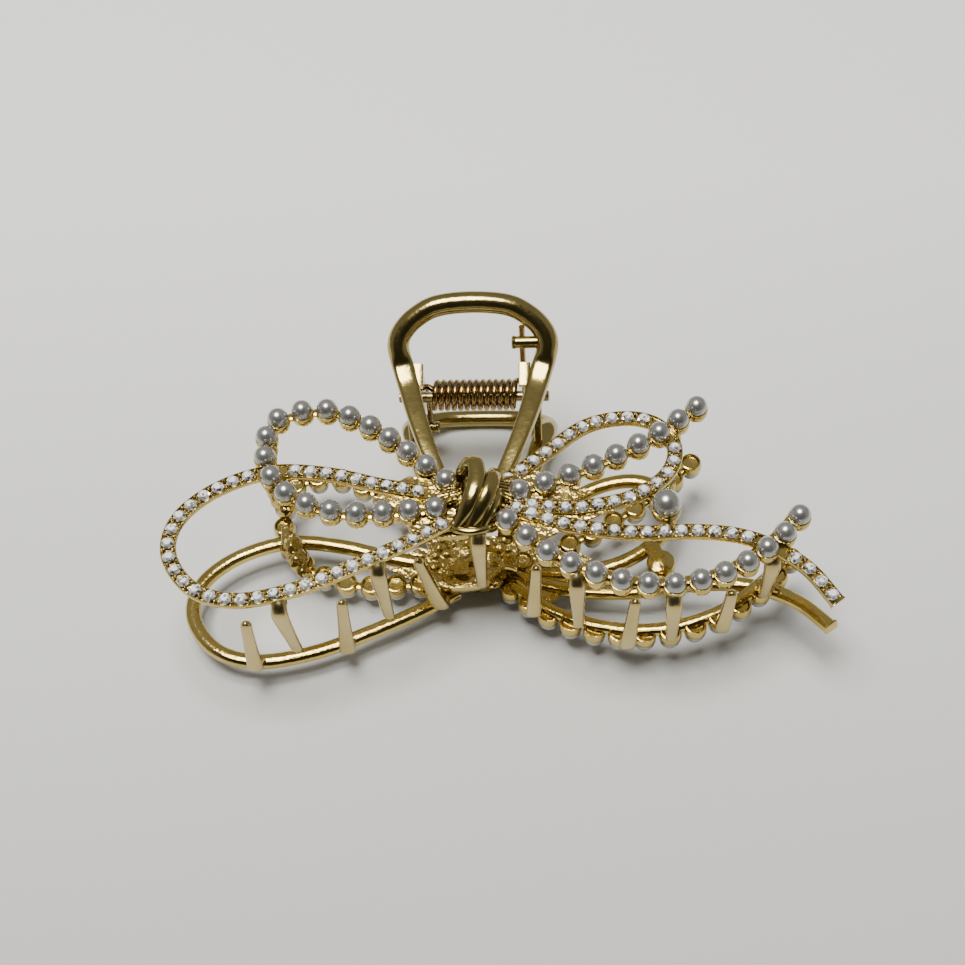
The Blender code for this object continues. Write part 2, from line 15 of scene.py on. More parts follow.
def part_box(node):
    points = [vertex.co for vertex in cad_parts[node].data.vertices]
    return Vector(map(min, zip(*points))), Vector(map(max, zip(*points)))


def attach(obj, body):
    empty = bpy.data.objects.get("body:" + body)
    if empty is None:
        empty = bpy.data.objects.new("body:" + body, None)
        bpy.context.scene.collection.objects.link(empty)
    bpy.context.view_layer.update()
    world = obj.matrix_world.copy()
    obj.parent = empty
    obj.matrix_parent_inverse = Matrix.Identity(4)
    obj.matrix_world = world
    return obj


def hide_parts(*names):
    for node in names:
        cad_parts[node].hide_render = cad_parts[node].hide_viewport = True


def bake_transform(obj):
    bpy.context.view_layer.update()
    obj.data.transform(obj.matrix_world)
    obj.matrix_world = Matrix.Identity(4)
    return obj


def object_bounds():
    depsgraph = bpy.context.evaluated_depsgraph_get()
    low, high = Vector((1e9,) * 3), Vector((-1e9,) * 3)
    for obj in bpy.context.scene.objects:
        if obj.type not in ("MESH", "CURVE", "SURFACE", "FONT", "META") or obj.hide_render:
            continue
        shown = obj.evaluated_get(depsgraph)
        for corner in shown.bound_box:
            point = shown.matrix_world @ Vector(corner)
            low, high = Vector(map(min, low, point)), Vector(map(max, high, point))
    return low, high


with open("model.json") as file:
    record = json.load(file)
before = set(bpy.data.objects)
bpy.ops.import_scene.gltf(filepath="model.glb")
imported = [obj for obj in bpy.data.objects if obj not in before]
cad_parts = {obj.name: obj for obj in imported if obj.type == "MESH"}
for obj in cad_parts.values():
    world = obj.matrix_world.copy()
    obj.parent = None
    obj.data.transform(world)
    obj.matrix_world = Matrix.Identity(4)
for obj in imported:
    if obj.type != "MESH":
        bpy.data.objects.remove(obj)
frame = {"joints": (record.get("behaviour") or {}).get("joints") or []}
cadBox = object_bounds()
print("frame loaded")


def boxMiddle(node):
    low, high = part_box(node)
    return (low + high) / 2


mm = 0.001
hinge = frame["joints"][0]
pinMiddle = Vector(hinge["pos_m"])
acrossJaws = boxMiddle("upper_big_pearl") - boxMiddle("lower_big_pearl")
tilt = math.atan2(-acrossJaws.y, acrossJaws.z)  # the clip leans on its knot and finger loop
jawToWorld = Matrix.Translation(pinMiddle) @ Matrix.Rotation(tilt, 4, "X") @ Matrix.Scale(mm, 4)

fineStep = 0.3  # between the points of a row's own line

bow = {
    "crown": 10.4,  # height of the rails' top face where the bow is highest
    "crownAt": (-12.0, -24.0), "fall": (0.0013, 0.004), "twist": 0.001,
    "knotAt": (1.3, -22.8), "knotRoom": (3.4, 5.5),
    "leftPearls": [
        (-3.0, -21.5), (-8.4, -16.7), (-14.0, -12.0), (-20.5, -8.8), (-26.8, -10.0), (-28.5, -14.0),
        (-27.6, -19.5), (-24.3, -23.7), (-18.0, -26.4), (-11.0, -26.6), (-4.2, -26.0),
    ],
    "rightPearls": [(7.1, -23.1), (13.5, -20.6), (20.0, -17.2), (26.0, -13.3), (32.0, -8.0)],
    "frontPearls": [
        (5.4, -27.7), (10.4, -32.0), (16.5, -35.0), (23.0, -36.4), (29.6, -36.0),
        (36.4, -33.4), (42.3, -28.7), (45.2, -25.2),
    ],
    "leftStones": [
        (-5.5, -23.2), (-12.0, -21.9), (-19.5, -19.9), (-27.5, -19.3), (-34.8, -21.9), (-39.6, -26.5),
        (-40.3, -32.0), (-36.6, -37.2), (-30.5, -39.1), (-22.5, -37.6), (-14.5, -34.2), (-7.0, -30.4),
        (-2.4, -27.6),
    ],
    "rightStones": [
        (4.6, -21.6), (6.8, -19.9), (11.3, -15.9), (16.4, -11.6), (22.0, -10.0), (26.4, -11.1),
        (28.6, -15.0), (27.2, -19.6), (22.2, -23.4), (16.0, -25.1), (12.6, -25.3), (7.6, -24.9),
    ],
    "tailStones": [
        (5.6, -24.9), (8.4, -26.3), (14.2, -28.0), (22.4, -28.8), (30.4, -28.2), (36.5, -28.4),
        (41.5, -29.9), (46.0, -32.8), (49.6, -37.2),
    ],
    "bigPearl": (27.0, -24.6),
}


def crown(x, y):
    # height of the domed and slightly twisted face that every row follows
    along, across = x - bow["crownAt"][0], y - bow["crownAt"][1]
    fallAlong, fallAcross = bow["fall"]
    return bow["crown"] - fallAlong * along**2 - fallAcross * across**2 + bow["twist"] * along * across


def evenPoints(line, step):
    line = np.array(line, float)
    lengths = np.concatenate([[0], np.cumsum(np.linalg.norm(np.diff(line, axis=0), axis=1))])
    at = np.linspace(0, lengths[-1], max(2, round(lengths[-1] / step) + 1))
    return np.stack([np.interp(at, lengths, line[:, k]) for k in range(line.shape[1])], axis=1)


def smoothLine(points, step, cuts=24):
    # Catmull-Rom through the points, then evened out
    p = np.array(points, float)
    p = np.vstack([2 * p[0] - p[1], p, 2 * p[-1] - p[-2]])
    fine = []
    for i in range(1, len(p) - 2):
        a, b, c, d = p[i - 1 : i + 3]
        for t in np.linspace(0, 1, cuts, endpoint=False):
            fine.append(0.5 * (2 * b + (c - a) * t + (2 * a - 5 * b + 4 * c - d) * t**2
                               + (3 * b - a - 3 * c + d) * t**3))
    fine.append(p[-2])
    return evenPoints(fine, step)


def rowLine(row):
    return smoothLine(bow[row], fineStep)


def lift(line, offset):
    # a flat line laid on the domed face, this far above it
    return np.array([(x, y, crown(x, y) + offset) for x, y in line])


def toLine(point, line):
    # distance from a point to a line of flat points
    a, b = line[:-1], line[1:]
    ab = b - a
    t = np.clip(((point - a) * ab).sum(1) / (ab * ab).sum(1), 0, 1)
    return float(np.linalg.norm(point - a - t[:, None] * ab, axis=1).min())


def share(value):
    return min(max(value, 0.0), 1.0)


def roundSection(width, height, power=2.0, count=16):
    # a superellipse: 2 is round, 5 is nearly a box
    made = []
    for k in range(count):
        c, s = math.cos(2 * math.pi * k / count), math.sin(2 * math.pi * k / count)
        made.append((
            width / 2 * math.copysign(abs(c) ** (2 / power), c),
            height / 2 * math.copysign(abs(s) ** (2 / power), s),
        ))
    return made


class Shape:
    # gathers closed solids, in jaw millimetres, for one piece

    def __init__(self):
        self.points = []
        self.faces = []

    def add(self, points, faces):
        start = len(self.points)
        self.points += [tuple(float(c) for c in p) for p in points]
        self.faces += [tuple(start + i for i in face) for face in faces]
        return self

    def rings(self, rings):
        # a skin over the rings, closed by a cap at each end
        count = len(rings[0])
        faces = []
        for i in range(len(rings) - 1):
            for k in range(count):
                n = (k + 1) % count
                faces.append((i * count + k, i * count + n, (i + 1) * count + n, (i + 1) * count + k))
        faces.append(tuple(range(count))[::-1])
        faces.append(tuple((len(rings) - 1) * count + k for k in range(count)))
        return self.add([p for ring in rings for p in ring], faces)

    def sweep(self, line, sections, up=(0, 0, 1)):
        # sections: one for the whole line, or one for each point of it
        line = np.array(line, float)
        ahead = np.gradient(line, axis=0)
        ups = np.broadcast_to(np.array(up, float), line.shape)
        if not isinstance(sections[0], list):
            sections = [sections] * len(line)
        rings = []
        for point, forward, above, section in zip(line, ahead, ups, sections):
            forward = forward / np.linalg.norm(forward)
            side = np.cross(forward, above)
            side /= np.linalg.norm(side)
            top = np.cross(side, forward)
            rings.append([point + side * u + top * v for u, v in section])
        return self.rings(rings)

    def lathe(self, at, profile, count=20, axis=(0, 0, 1)):
        # profile: (radius, height) pairs from one end to the other, along the axis
        turn = Vector(axis).to_track_quat("Z", "Y")
        rings = []
        for radius, height in profile:
            wide = max(radius, 0.01)  # a ring never shrinks to a point
            ring = []
            for k in range(count):
                a = 2 * math.pi * k / count
                spot = turn @ Vector((wide * math.cos(a), wide * math.sin(a), height))
                ring.append(np.array(at, float) + np.array(spot))
            rings.append(ring)
        return self.rings(rings)

    def ball(self, at, radius, count=20, squash=(1, 1, 1)):
        # an egg when squashed: radii along x, y and z
        rows = count // 2
        rings = []
        for i in range(rows + 1):
            tip = math.pi * (0.01 + 0.98 * i / rows)
            ring = []
            for k in range(count):
                a = 2 * math.pi * k / count
                ring.append((
                    at[0] + radius * squash[0] * math.sin(tip) * math.cos(a),
                    at[1] + radius * squash[1] * math.sin(tip) * math.sin(a),
                    at[2] - radius * squash[2] * math.cos(tip),
                ))
            rings.append(ring)
        return self.rings(rings)

    def plate(self, outline, low, high, bevel=0.15):
        # an upright slab over a flat outline, its two rims drawn in by the bevel
        flat = np.array(outline, float)
        middle = flat.mean(0)
        reach = np.linalg.norm(flat - middle, axis=1)[:, None]
        inner = middle + (flat - middle) * (1 - bevel / np.maximum(reach, bevel * 2))
        levels = [(inner, low), (flat, low + bevel), (flat, high - bevel), (inner, high)]
        return self.rings([[(x, y, z) for x, y in ring] for ring, z in levels])


def makePiece(name, shape, side, body, material, replaced, sharp):
    # side is 1 on the upper jaw and -1 on the lower one, and sharp is in degrees
    points = [jawToWorld @ Vector((x, y, z * side)) for x, y, z in shape.points]
    mesh = bpy.data.meshes.new(name)
    mesh.from_pydata(points, [], shape.faces)
    bm = bmesh.new()
    bm.from_mesh(mesh)
    bmesh.ops.recalc_face_normals(bm, faces=bm.faces)
    bm.to_mesh(mesh)
    bm.free()
    mesh.shade_smooth()
    mesh.set_sharp_from_angle(angle=math.radians(sharp))
    mesh.materials.append(material)
    made = bpy.data.objects.new(name, mesh)
    bpy.context.scene.collection.objects.link(made)
    if body:
        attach(made, body)
    if replaced:
        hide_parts(*replaced)
    return made


class Link:
    # one socket of a shader, so that sums on it read as sums

    def __init__(self, tree, socket):
        self.tree = tree
        self.socket = socket

    def maths(self, operation, *values):
        node = self.tree.nodes.new("ShaderNodeMath")
        node.operation = operation
        for place, value in zip(node.inputs, values):
            if isinstance(value, Link):
                self.tree.links.new(value.socket, place)
            else:
                place.default_value = value
        return Link(self.tree, node.outputs[0])

    def __add__(self, other):
        return self.maths("ADD", self, other)

    def __radd__(self, other):
        return self.maths("ADD", other, self)

    def __sub__(self, other):
        return self.maths("SUBTRACT", self, other)

    def __rsub__(self, other):
        return self.maths("SUBTRACT", other, self)

    def __mul__(self, other):
        return self.maths("MULTIPLY", self, other)

    def __rmul__(self, other):
        return self.maths("MULTIPLY", other, self)

    def __pow__(self, other):
        return self.maths("POWER", self, other)

    def __rpow__(self, other):
        return self.maths("POWER", other, self)

    def __abs__(self):
        return self.maths("ABSOLUTE", self)


class Board:
    # a node tree and the one way that nodes are added to it

    def __init__(self, tree):
        self.tree = tree

    def node(self, kind, settings=None, values=None, output=0):
        node = self.tree.nodes.new(kind)
        for key, value in (settings or {}).items():
            if key == "stops":
                self.setStops(node.color_ramp, value)
            else:
                setattr(node, key, value)
        for key, value in (values or {}).items():
            if isinstance(value, Link):
                self.tree.links.new(value.socket, node.inputs[key])
            else:
                node.inputs[key].default_value = value
        return Link(self.tree, node.outputs[output])

    def setStops(self, ramp, stops):
        while len(ramp.elements) < len(stops):
            ramp.elements.new(1.0)
        for element, (place, colour) in zip(ramp.elements, stops):
            element.position = place
            element.color = (*colour, 1.0)


class Finish(Board):
    # a Principled material, with what its pieces' finishes share

    def __init__(self, name, constants):
        self.material = bpy.data.materials.new(name)
        self.material.use_nodes = True
        super().__init__(self.material.node_tree)
        self.shader = self.tree.nodes["Principled BSDF"]
        for socket, value in constants.items():
            self.shader.inputs[socket].default_value = value

    def feed(self, socket, link):
        self.tree.links.new(link.socket, self.shader.inputs[socket])

    def where(self):
        # the piece's own coordinates, in millimetres
        place = self.node("ShaderNodeTexCoord", output=3)
        return self.node("ShaderNodeVectorMath", {"operation": "SCALE"}, {0: place, "Scale": 1 / mm})

    def noise(self, scale, detail=3.0, roughness=0.5):
        return self.node(
            "ShaderNodeTexNoise", {}, {"Vector": self.where(), "Scale": scale, "Detail": detail,
                                       "Roughness": roughness})

    def steps(self, factor, stops):
        # flat bands of colour, with no blend from one to the next
        banded = self.node("ShaderNodeValToRGB", {"stops": stops}, {0: factor})
        banded.socket.node.color_ramp.interpolation = "CONSTANT"
        return banded

    def mixColours(self, factor, a, b):
        return self.node(
            "ShaderNodeMix", {"data_type": "RGBA"},
            {0: factor, 6: a if isinstance(a, Link) else (*a, 1.0),
             7: b if isinstance(b, Link) else (*b, 1.0)}, output=2)

    def bump(self, height, strength, distance):
        return self.node(
            "ShaderNodeBump", {}, {"Height": height, "Strength": strength, "Distance": distance * mm})


def goldFinish(name, look):
    # bright plating over a cast skin: tone drifts, the polish varies, and the skin is a little wavy
    made = Finish(name, {"Metallic": 1.0, "Specular IOR Level": 0.6})
    drift = made.noise(0.18, 2.0)
    cloud = made.noise(0.9, 4.0, 0.6)
    toned = made.mixColours(drift * 1.6 - 0.3, look["pale"], look["rich"])
    worn = made.noise(2.2, 5.0, 0.65) ** 3.0
    made.feed("Base Color", made.mixColours(worn * look["wear"], toned, look["worn"]))
    made.feed("Roughness", look["rough"] + (cloud - 0.5) * look["roughSpread"])
    skin = made.noise(look["skinScale"], 3.0) + made.noise(0.7, 2.0) * 1.5
    made.feed("Normal", made.bump(skin, look["skin"], look["relief"]))
    return made.material


goldLooks = {
    "castGold": {
        "pale": (0.72, 0.56, 0.19), "rich": (0.50, 0.365, 0.085), "worn": (0.26, 0.17, 0.05), "wear": 0.8,
        "rough": 0.13, "roughSpread": 0.12, "skin": 0.5, "skinScale": 2.5, "relief": 0.06,
    },
    # the same plating as the rest, painted darker all over: painted shade for the finger loop and the knot
    "handleGoldPaintedShade": {
        "pale": (0.45, 0.355, 0.13), "rich": (0.32, 0.245, 0.08), "worn": (0.20, 0.14, 0.045), "wear": 0.35,
        "rough": 0.18, "roughSpread": 0.12, "skin": 0.3, "skinScale": 1.4, "relief": 0.06,
    },
    "toothGold": {
        "pale": (0.64, 0.51, 0.24), "rich": (0.50, 0.39, 0.15), "worn": (0.34, 0.24, 0.08), "wear": 0.5,
        "rough": 0.22, "roughSpread": 0.12, "skin": 0.35, "skinScale": 1.8, "relief": 0.08,
    },
    "ribGold": {
        "pale": (0.72, 0.56, 0.21), "rich": (0.46, 0.33, 0.08), "worn": (0.20, 0.13, 0.04), "wear": 0.9,
        "rough": 0.16, "roughSpread": 0.14, "skin": 0.7, "skinScale": 1.2, "relief": 0.25,
    },
    # the spring's own darker tone, painted darker still as painted shade between its coils
    "springWireToneAndShade": {
        "pale": (0.44, 0.31, 0.13), "rich": (0.28, 0.18, 0.07), "worn": (0.14, 0.08, 0.03), "wear": 0.6,
        "rough": 0.14, "roughSpread": 0.10, "skin": 0.4, "skinScale": 6.0, "relief": 0.05,
    },
    "pinSteel": {
        "pale": (0.58, 0.46, 0.26), "rich": (0.46, 0.34, 0.17), "worn": (0.28, 0.19, 0.09), "wear": 0.5,
        "rough": 0.26, "roughSpread": 0.16, "skin": 0.4, "skinScale": 3.0, "relief": 0.05,
    },
}
golds = {name: goldFinish(name, look) for name, look in goldLooks.items()}


lacquer = {"dark": (0.29, 0.285, 0.265), "light": (0.38, 0.37, 0.345)}


def pearlFinish(name):
    # lacquered bead: soft grey body under a hard clear coat, faintly clouded
    made = Finish(name, {
        "Metallic": 0.78, "Specular IOR Level": 0.6, "Coat Weight": 1.0, "Coat Roughness": 0.045,
        "Coat IOR": 1.9,
    })
    cloud = made.noise(0.5, 3.0)
    made.feed("Base Color", made.mixColours(cloud * 1.4 - 0.2, lacquer["dark"], lacquer["light"]))
    made.feed("Roughness", 0.24 + made.noise(3.0, 2.0) * 0.08)
    made.feed("Normal", made.bump(made.noise(5.0, 2.0), 0.06, 0.02))
    return made.material


paintedGlints = {  # cells to the millimetre, and how light each share of them is: painted glints and painted dark reflections
    "cells": 3.1,
    "facets": [(0.0, (0.10, 0.09, 0.06)), (0.16, (0.46, 0.43, 0.34)), (0.32, (0.90, 0.90, 0.86)),
               (0.5, (1.0, 1.0, 0.98))],
    "table": [(0.0, (0.22, 0.21, 0.17)), (0.12, (0.78, 0.77, 0.70)), (0.28, (0.97, 0.97, 0.94)),
              (0.5, (1.0, 1.0, 0.98))],
}


def stoneFinish(name):
    # foiled glass with painted glints: each small cell of the cut is painted light or dark, a painted
    # stand-in for its sparkle and reflections
    made = Finish(name, {
        "Specular IOR Level": 0.8, "Coat Weight": 1.0, "Coat Roughness": 0.02, "IOR": 1.56,
    })
    cells = made.node(
        "ShaderNodeTexVoronoi", {"feature": "F1"},
        {"Vector": made.where(), "Scale": paintedGlints["cells"], "Randomness": 1.0}, output=1)
    chance = made.node("ShaderNodeSeparateColor", {}, {0: cells})
    face = made.node("ShaderNodeTexCoord", output=1)
    level = made.node("ShaderNodeSeparateXYZ", {}, {0: face}, output=2)
    paintedLitTopShare = abs(level) ** 6.0  # the up-facing top is painted pale as a painted highlight, and the facets round it get painted glints and painted dark reflections
    facets, top = made.steps(chance, paintedGlints["facets"]), made.steps(chance, paintedGlints["table"])
    # the base colour holds only painted glints, painted reflections and a painted lit top
    made.feed("Base Color", made.mixColours(paintedLitTopShare, facets, top))
    made.feed("Metallic", 0.80 - paintedLitTopShare * 0.74)
    made.feed("Roughness", 0.08 + made.noise(4.0, 1.0) * 0.12)
    return made.material


pearlCoat = pearlFinish("pearlLacquer")
stoneGlass = stoneFinish("crystalPaintedGlints")
print("finishes mixed")


rail = {"width": 2.2, "depth": 1.3, "rim": 0.2, "channel": 0.3, "chamfer": (0.06, 0.12), "step": 0.5}
stone = {
    "pitch": 2.22, "radius": 0.97, "table": 0.5, "rise": 0.52, "inset": 1.1, "sink": 0.02, "askew": 0.2,
    "room": 0.55,  # how much of a stone's radius has to stand clear of the pearls
    "grain": 0.27, "grainOut": 0.62, "grainRoom": 0.1,
}
tailLip = {"half": 0.16, "drop": 0.45, "depth": 1.5}
pearl = {"radius": 1.5, "pitch": 3.55, "lift": 0.6, "bigRadius": 2.0}


def railSection():
    w, d = rail["width"] / 2, rail["depth"]
    rim, channel = rail["rim"], rail["channel"]
    inward, down = rail["chamfer"]
    section = [
        (w, -down), (w - inward, 0.0), (w - rim, 0.0), (w - rim - 0.04, -channel),
        (rim + 0.04 - w, -channel), (rim - w, 0.0), (inward - w, 0.0), (-w, -down),
    ]
    for k in range(9):  # the back is rounded
        a = math.pi * k / 8
        section.append((-w * abs(math.cos(a)) ** 0.8 * math.copysign(1, math.cos(a)),
                        -channel - (d - channel) * math.sin(a) ** 0.8))
    return section


def addStone(shape, at, turn):
    # a cut crown: girdle, mid facets, star facets and table over a shallow point
    r, table, rise = stone["radius"], stone["table"], stone["rise"]
    levels = [  # radius, height and how much of a side the ring is turned
        (0.5 * r, -0.28, 0.0), (r, -0.02, 0.5), (r * 0.98, 0.06, 0.5), (0.80 * r, 0.30, 0.0),
        (table, rise, 0.5),
    ]
    sides = 8
    points = []
    for radius, height, shift in levels:
        for k in range(sides):
            a = turn + 2 * math.pi * (k + shift) / sides
            points.append((at[0] + radius * math.cos(a), at[1] + radius * math.sin(a), at[2] + height))
    girdle, waist, star, top = sides, 2 * sides, 3 * sides, 4 * sides  # where each ring's points start
    faces = [tuple(range(sides))[::-1], tuple(top + k for k in range(sides))]
    for k in range(sides):
        n, b = (k + 1) % sides, (k - 1) % sides
        faces += [(k, n, girdle + k), (girdle + b, k, girdle + k)]
        faces += [(girdle + k, girdle + n, waist + n, waist + k)]
        faces += [(waist + k, waist + n, star + n), (waist + k, star + n, star + k)]
        faces += [(star + k, star + n, top + k), (top + b, star + k, top + k)]
    shape.add(points, faces)


def stoneRow(row, pearlRows, body, side, jaw, rng):
    line = rowLine(row + "Stones")
    channel, stones, grains = Shape(), Shape(), Shape()
    channel.sweep(lift(evenPoints(line, rail["step"]), 0.0), railSection())
    inset = round(stone["inset"] / fineStep)
    seats = evenPoints(line[inset:-inset], stone["pitch"])
    ahead = np.gradient(seats, axis=0)
    ahead /= np.linalg.norm(ahead, axis=1)[:, None]
    (knotX, knotY), (roomX, roomY) = bow["knotAt"], bow["knotRoom"]

    def isFree(spot, room):
        if abs(spot[0] - knotX) < roomX + room and abs(spot[1] - knotY) < roomY:
            return False
        return min(toLine(spot, other) for other in pearlRows) > pearl["radius"] + room

    for i, (seat, forward) in enumerate(zip(seats, ahead)):
        if isFree(seat, stone["radius"] * stone["room"]):
            turn = math.atan2(forward[1], forward[0]) + rng.uniform(-stone["askew"], stone["askew"])
            addStone(stones, (seat[0], seat[1], crown(*seat) - stone["sink"]), turn)
        if i + 1 < len(seats):
            between = (seat + seats[i + 1]) / 2
            beside = np.array([-forward[1], forward[0]])
            for hand in (-1, 1):
                spot = between + beside * hand * stone["grainOut"]
                if isFree(spot, stone["grainRoom"]):
                    grains.ball((spot[0], spot[1], crown(*spot) + stone["sink"]), stone["grain"], 8)
    if row == "tail":  # the tail ends in a plain squared lip
        reach = ahead[-1] * tailLip["half"]
        end = line[-1] - reach
        channel.sweep(lift(np.array([end - reach, end + reach]), -tailLip["drop"]),
                      roundSection(rail["width"], tailLip["depth"], 8.0, 16))
    parts = [f"{jaw}_{row}_{place}_rail" for place in ("root", "tip")]
    strips = [f"{jaw}_{row}_{place}_stones" for place in ("root", "tip")]
    makePiece(f"{jaw}_{row}_stoneRail", channel, side, body, golds["castGold"], parts, 30)
    makePiece(f"{jaw}_{row}_grains", grains, side, body, golds["ribGold"], [], 60)
    makePiece(f"{jaw}_{row}_rhinestones", stones, side, body, stoneGlass, strips, 5)


def addCup(shape, at, radius):
    # a small bowl under the bead, its back domed and dimpled
    shape.lathe(at, [
        (radius * 0.80, -radius * 0.50), (radius * 0.93, -radius * 0.26), (radius * 1.03, -radius * 0.28),
        (radius * 1.09, -radius * 0.40), (radius * 1.08, -radius * 0.85), (radius * 1.03, -radius * 1.22),
        (radius * 0.94, -radius * 1.38), (radius * 0.83, -radius * 1.40), (radius * 0.75, -radius * 1.30),
        (radius * 0.70, -radius * 1.08), (0.0, -radius * 1.03),
    ], 24)


pearlSpine = {
    "front": {"behind": 0.75, "drop": 1.7, "section": (1.9, 1.4, 2.4, 16)},  # a smooth ridge behind the cups
    "left": {"behind": 0.0, "drop": 1.15, "section": (1.3, 0.7, 2.6, 12)},
    "right": {"behind": 0.0, "drop": 1.15, "section": (1.3, 0.7, 2.6, 12)},
}


def pearlRow(row, body, side, jaw):
    line = rowLine(row + "Pearls")
    middles = evenPoints(line, pearl["pitch"])
    beads, spine = Shape(), Shape()
    for spot in middles:
        at = (spot[0], spot[1], crown(*spot) + pearl["lift"])
        beads.ball(at, pearl["radius"], 28)
        addCup(spine, at, pearl["radius"])
    ridge = pearlSpine[row]
    core = evenPoints(line, rail["step"])
    ahead = np.gradient(core, axis=0)
    ahead /= np.linalg.norm(ahead, axis=1)[:, None]
    core += np.stack([-ahead[:, 1], ahead[:, 0]], axis=1) * ridge["behind"]
    spine.sweep(lift(core, pearl["lift"] - ridge["drop"]), roundSection(*ridge["section"]))
    makePiece(f"{jaw}_{row}_pearlCups", spine, side, body, golds["castGold"],
              [f"{jaw}_{row}_pearl_rail"], 34)
    makePiece(f"{jaw}_{row}_beads", beads, side, body, pearlCoat, [f"{jaw}_{row}_pearls"], 60)


def bigPearl(body, side, jaw):
    x, y = bow["bigPearl"]
    z = crown(x, y) + pearl["lift"]
    radius = pearl["bigRadius"]
    cup = Shape()
    cup.lathe((x, y, z), [
        (radius * 0.80, -radius * 0.52), (radius * 0.92, -radius * 0.32), (radius * 1.01, -radius * 0.34),
        (radius * 1.06, -radius * 0.46), (radius * 1.05, -radius * 0.86), (radius * 0.94, -radius * 1.12),
        (radius * 0.6, -radius * 1.26), (0.0, -radius * 1.32),
    ], 32)
    stem = [(x, y - 0.8, z - 1.3), (x + 0.1, y - 2.4, z - 1.2), (x + 0.2, y - 3.4, z - 1.1)]
    cup.sweep(smoothLine(stem, 0.4), roundSection(1.6, 0.8, 3.0, 12))
    neck = [(x - 0.2, y + 0.6, z - 1.9), (x - 0.9, y + 1.9, z - 1.7), (x - 1.5, y + 3.4, z - 1.4)]
    cup.sweep(smoothLine(neck, 0.4), roundSection(2.4, 1.2, 3.0, 16))
    makePiece(f"{jaw}_bigPearlSeat", cup, side, body, golds["castGold"], [f"{jaw}_big_pearl_cup"], 34)
    bead = Shape().ball((x, y, z), radius, 36)
    makePiece(f"{jaw}_bigBead", bead, side, body, pearlCoat, [f"{jaw}_big_pearl"], 60)


knot = {
    "core": (2.1, 4.0, 2.5), "coreAt": (-0.1, -0.2, 10.0), "reach": {"upper": 1.0, "lower": 0.72},
    "foot": 8.0,  # the wraps face away from a point this high under the core
    "wraps": [
        {"width": 2.45, "thickness": 1.6, "line": [
            (-0.9, -20.8, 9.6), (-0.8, -20.3, 10.9), (0.1, -19.7, 12.1), (1.1, -20.3, 12.8),
            (1.4, -22.4, 13.0), (1.0, -24.6, 12.9), (0.1, -26.6, 11.9), (-1.3, -28.2, 9.8)]},
        {"width": 2.3, "thickness": 1.6, "line": [
            (3.6, -20.6, 9.6), (3.7, -20.9, 11.1), (3.6, -21.9, 12.1), (3.4, -23.4, 12.6), (2.8, -25.2, 12.5),
            (1.7, -27.0, 11.5), (0.5, -28.4, 9.8)]},
        {"width": 1.5, "thickness": 1.3, "line": [
            (4.3, -23.2, 9.8), (4.3, -23.8, 11.1), (3.9, -25.3, 11.6), (3.1, -27.0, 11.0),
            (2.0, -28.5, 9.7)]},
    ],
    "collar": [
        (-2.4, -27.9, 9.3), (-1.2, -28.9, 9.8), (0.7, -29.3, 10.0), (2.5, -28.8, 9.8), (3.8, -27.7, 9.2)],
}


def makeKnot(body, side, jaw):
    shape = Shape()
    x, y = bow["knotAt"]
    aside, back, up = knot["coreAt"]
    shape.ball((x + aside, y + back, up), 1.0, 28, knot["core"])
    for wrap in knot["wraps"]:
        line = smoothLine(wrap["line"], 0.35)
        line[:, 1] = np.where(line[:, 1] < y, y + (line[:, 1] - y) * knot["reach"][jaw], line[:, 1])
        outward = line - np.array([x, y, knot["foot"]])
        outward[:, 1] *= 0.55
        swell = np.sin(np.linspace(0.4, math.pi - 0.5, len(line))) ** 0.5  # each wrap thins at its ends
        sections = [roundSection(wrap["width"] * s, wrap["thickness"], 2.3, 18) for s in swell]
        shape.sweep(line, sections, outward)
    if jaw == "upper":
        shape.sweep(smoothLine(knot["collar"], 0.4), roundSection(1.2, 1.0, 2.4, 12))
    makePiece(f"{jaw}_knotWrap", shape, side, body, golds["handleGoldPaintedShade"], [f"{jaw}_knot"], 50)


gathers = {
    "fans": [  # where each fan's pleats meet, and where they start
        ((-1.4, -23.2), [(-3.6 - 0.25 * abs(i - 4), -20.6 - 0.62 * i) for i in range(10)]),
        ((4.0, -22.6), [(6.4, -20.9 - 0.66 * i) for i in range(7)]),
    ],
    "pleat": (0.46, 0.6, 2.2, 10), "narrowing": 0.55, "startUp": 0.3, "endHeight": 11.0,
    "webs": [
        [(-1.5, -20.4), (-5.0, -20.9), (-8.2, -20.3), (-10.0, -21.4), (-7.0, -23.2), (-1.5, -23.4)],
        [(-1.5, -22.6), (-9.5, -23.6), (-13.0, -23.6), (-10.0, -25.4), (-4.5, -26.4), (-1.5, -26.6)],
        [(-1.0, -26.0), (-5.8, -27.0), (-7.8, -27.6), (-6.5, -29.2), (-4.0, -29.7), (-2.0, -28.8)],
        [(4.0, -20.6), (7.4, -20.5), (9.6, -19.2), (10.2, -20.4), (8.6, -22.2), (4.0, -23.4)],
        [(4.0, -22.8), (9.0, -22.9), (15.0, -21.6), (17.2, -22.8), (13.0, -24.6), (4.0, -25.0)],
        [(8.0, -25.3), (16.0, -25.7), (20.0, -25.6), (16.0, -27.2), (9.0, -26.4)],
        [(4.0, -25.0), (8.0, -26.6), (11.8, -27.8), (12.4, -29.2), (10.2, -30.4), (4.6, -28.2)],
    ],
    "webDrop": 0.4, "webThickness": 0.4,
}


